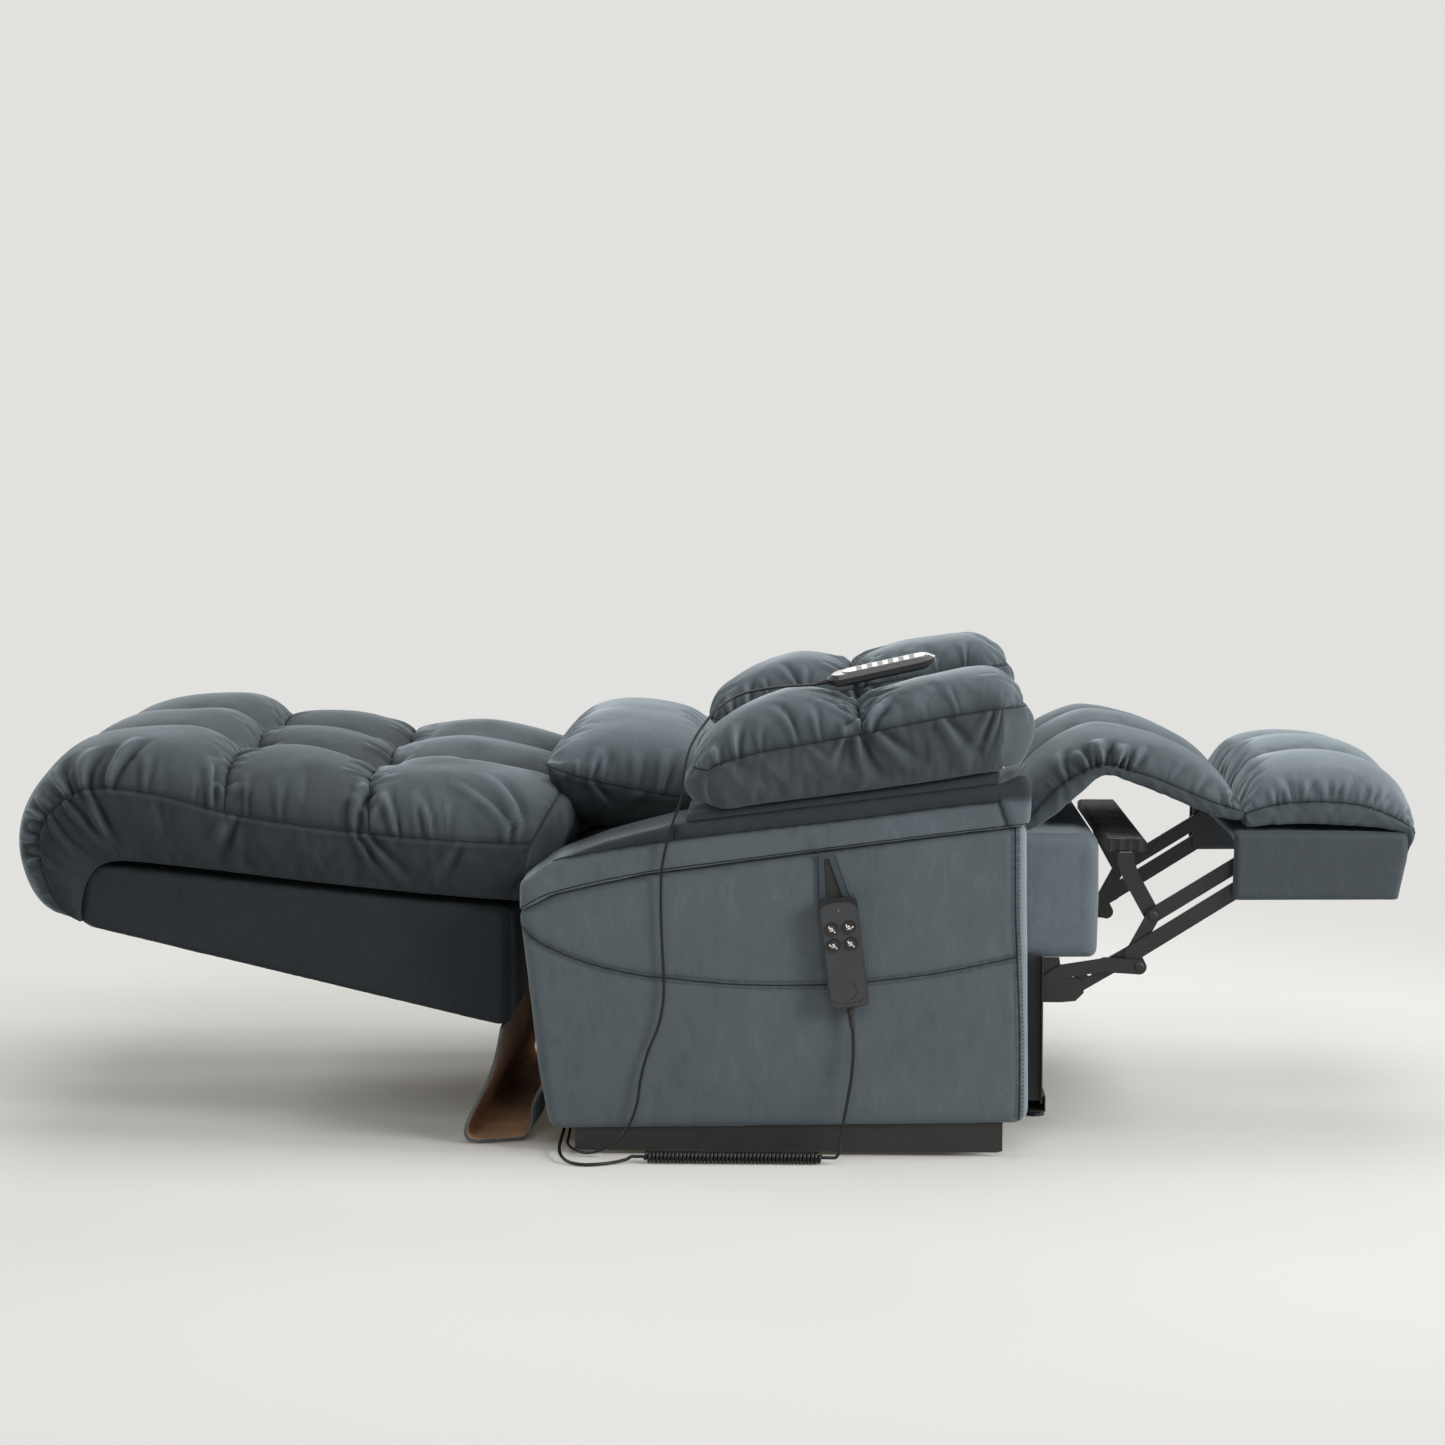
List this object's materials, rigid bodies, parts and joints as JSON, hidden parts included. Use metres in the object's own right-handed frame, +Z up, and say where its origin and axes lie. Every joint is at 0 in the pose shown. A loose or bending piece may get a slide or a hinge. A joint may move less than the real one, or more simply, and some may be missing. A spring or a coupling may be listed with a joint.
{
  "type": "lift recliner chair",
  "caption": "Power lift recliner laid flat: tufted velvet back, padded arms and footrest on steel links, lift base with motor, wired handset and massage remote.",
  "frame": {"origin": "on the floor, under the middle of the chair's bounding box in its flat position, without its cords", "axes": "+X to the feet, +Y to the sitter's left, +Z up"},
  "size_m": [2.0222, 0.9546, 0.7094],
  "materials": {
    "velvet": "soft slate blue-grey velvet upholstery",
    "velvet_trim": "slate velvet of the top strips, boards and pillows",
    "black_steel": "satin black powder coat",
    "link_steel": "satin black paint",
    "boot_plastic": "matt black",
    "motor_plastic": "matt dark grey",
    "rod_steel": "bright steel",
    "spring_steel": "dull steel wire",
    "handset_plastic": "dark grey satin plastic",
    "gloss_black": "glossy black plastic",
    "button_plastic": "glossy black buttons with pale symbols",
    "keypad_silver": "satin silver film",
    "cord_black": "smooth black cord sheath",
    "roller_nylon": "natural nylon",
    "flipper_cloth": "black quilted cloth",
    "flap_cloth": "slate velvet outside, brown backing inside"
  },
  "bodies": {
    "base": {"base_rails": "black_steel", "base_front_beam": "black_steel", "base_rear_beam": "black_steel", "base_feet": "boot_plastic", "lift_motor": "motor_plastic"},
    "lift_arm_pair": {"lift_arms": "black_steel", "torque_tube": "black_steel"},
    "lift_spindle": {"lift_rod": "rod_steel"},
    "chassis": {"arm_right": "velvet", "arm_left": "velvet", "arm_bands": "velvet_trim", "arm_decks": "velvet_trim", "arm_pad_right": "velvet_trim", "arm_pad_left": "velvet_trim", "chassis_plates": "black_steel", "chassis_cross_front": "black_steel", "chassis_cross_rear": "black_steel", "front_posts": "black_steel", "control_box": "boot_plastic", "cord_glands": "boot_plastic", "mains_inlet": "boot_plastic", "handset_strap": "velvet_trim", "handset_case": "handset_plastic", "handset_rim": "gloss_black", "handset_relief": "boot_plastic", "handset_cord_drop": "cord_black", "handset_cord_coil": "cord_black", "handset_cord_tail": "cord_black", "remote_case": "gloss_black", "remote_keypad": "keypad_silver", "remote_relief": "boot_plastic", "remote_cord": "cord_black"},
    "key_back_up": {"button_back_up": "button_plastic"},
    "key_back_down": {"button_back_down": "button_plastic"},
    "key_legs_up": {"button_legs_up": "button_plastic"},
    "key_legs_down": {"button_legs_down": "button_plastic"},
    "carriage": {"seat_rails": "black_steel", "seat_rear_rail": "black_steel", "seat_front_block": "velvet", "seat_springs": "spring_steel", "seat_cushion": "velvet", "seat_rollers": "roller_nylon", "chaise_pad": "velvet_trim", "footrest_brackets": "link_steel", "recline_motor": "motor_plastic"},
    "recline_spindle": {"recline_rod": "rod_steel"},
    "backrest": {"back_shell": "velvet", "back_hinges": "black_steel", "back_cushion": "velvet", "rear_flap": "flap_cloth"},
    "pillow": {"lumbar_pillow": "velvet_trim"},
    "rear_link_pair": {"rear_links": "link_steel"},
    "second_link_pair": {"second_rear_links": "link_steel"},
    "front_link_pair": {"front_links": "link_steel"},
    "upper_link_pair": {"upper_links": "link_steel"},
    "flipper": {"flipper_arms": "link_steel", "flipper_pad": "flipper_cloth"},
    "footrest": {"footrest_box": "velvet", "footrest_plates": "link_steel", "footrest_pad": "velvet_trim"}
  },
  "joints": [
    {"name": "lift", "type": "hinge", "parent": "base", "child": "lift_arm_pair", "pos_m": [-0.14, 0, 0.048], "axis": [0, -1, 0], "range_deg": [0, 24]},
    {"name": "chassis_tilt", "type": "hinge", "parent": "lift_arm_pair", "child": "chassis", "pos_m": [0.32936, 0, 0.0726], "axis": [0, 1, 0], "range_deg": [0, 52]},
    {"name": "lift_drive", "type": "slide", "parent": "base", "child": "lift_spindle", "axis": [-1, 0, 0], "range_m": [0, 0.02722]},
    {"name": "seat_slide", "type": "slide", "parent": "chassis", "child": "carriage", "axis": [1, 0, 0], "range_m": [-0.11501, 0]},
    {"name": "recline", "type": "hinge", "parent": "carriage", "child": "backrest", "pos_m": [-0.171, 0, 0.302], "axis": [0, 1, 0], "range_deg": [0, 70], "deforming": ["rear_flap"]},
    {"name": "pillow_push", "type": "slide", "parent": "carriage", "child": "pillow", "axis": [0.9903, 0, 0.1386], "range_m": [0, 0.33501]},
    {"name": "recline_drive", "type": "slide", "parent": "carriage", "child": "recline_spindle", "axis": [-1, 0, 0], "range_m": [0, 0.10644]},
    {"name": "legrest_fold", "type": "hinge", "parent": "carriage", "child": "rear_link_pair", "pos_m": [0.514, 0, 0.21], "axis": [0, 1, 0], "range_deg": [0, 86.34], "deforming": ["chaise_pad"]},
    {"name": "front_link_turn", "type": "hinge", "parent": "rear_link_pair", "child": "front_link_pair", "pos_m": [0.602, 0, 0.262], "axis": [0, 1, 0], "range_deg": [-139.87, 0]},
    {"name": "footrest_turn", "type": "hinge", "parent": "front_link_pair", "child": "footrest", "pos_m": [0.76, 0, 0.362], "axis": [0, 1, 0], "range_deg": [0, 143.53]},
    {"name": "upper_link_turn", "type": "hinge", "parent": "rear_link_pair", "child": "upper_link_pair", "pos_m": [0.631, 0, 0.316], "axis": [0, 1, 0], "range_deg": [-141.34, 0]},
    {"name": "flipper_turn", "type": "hinge", "parent": "rear_link_pair", "child": "flipper", "pos_m": [0.631, 0, 0.316], "axis": [0, 1, 0], "range_deg": [-86.34, 0]},
    {"name": "second_link_turn", "type": "hinge", "parent": "carriage", "child": "second_link_pair", "pos_m": [0.4534, 0, 0.2052], "axis": [0, 1, 0], "range_deg": [0, 44.61]},
    {"name": "press_back_up", "type": "slide", "parent": "chassis", "child": "key_back_up", "axis": [0, 1, 0], "range_m": [0, 0.0015], "stiffness_N_per_m": 400},
    {"name": "press_back_down", "type": "slide", "parent": "chassis", "child": "key_back_down", "axis": [0, 1, 0], "range_m": [0, 0.0015], "stiffness_N_per_m": 400},
    {"name": "press_legs_up", "type": "slide", "parent": "chassis", "child": "key_legs_up", "axis": [0, 1, 0], "range_m": [0, 0.0015], "stiffness_N_per_m": 400},
    {"name": "press_legs_down", "type": "slide", "parent": "chassis", "child": "key_legs_down", "axis": [0, 1, 0], "range_m": [0, 0.0015], "stiffness_N_per_m": 400}
  ],
  "couplings": [
    {"joint": "chassis_tilt", "follows": "lift", "ratio": 2.1667},
    {"joint": "lift_drive", "follows": "lift", "m_per_rad": 0.064952},
    {"joint": "seat_slide", "follows": "recline", "m_per_rad": -0.094129},
    {"joint": "pillow_push", "follows": "recline", "m_per_rad": 0.2742},
    {"joint": "recline_drive", "follows": "recline", "m_per_rad": 0.087115},
    {"joint": "front_link_turn", "follows": "legrest_fold", "ratio": -1.62},
    {"joint": "footrest_turn", "follows": "legrest_fold", "ratio": 1.6625},
    {"joint": "upper_link_turn", "follows": "legrest_fold", "ratio": -1.637},
    {"joint": "flipper_turn", "follows": "legrest_fold", "ratio": -1},
    {"joint": "second_link_turn", "follows": "legrest_fold", "ratio": 0.51663}
  ]
}
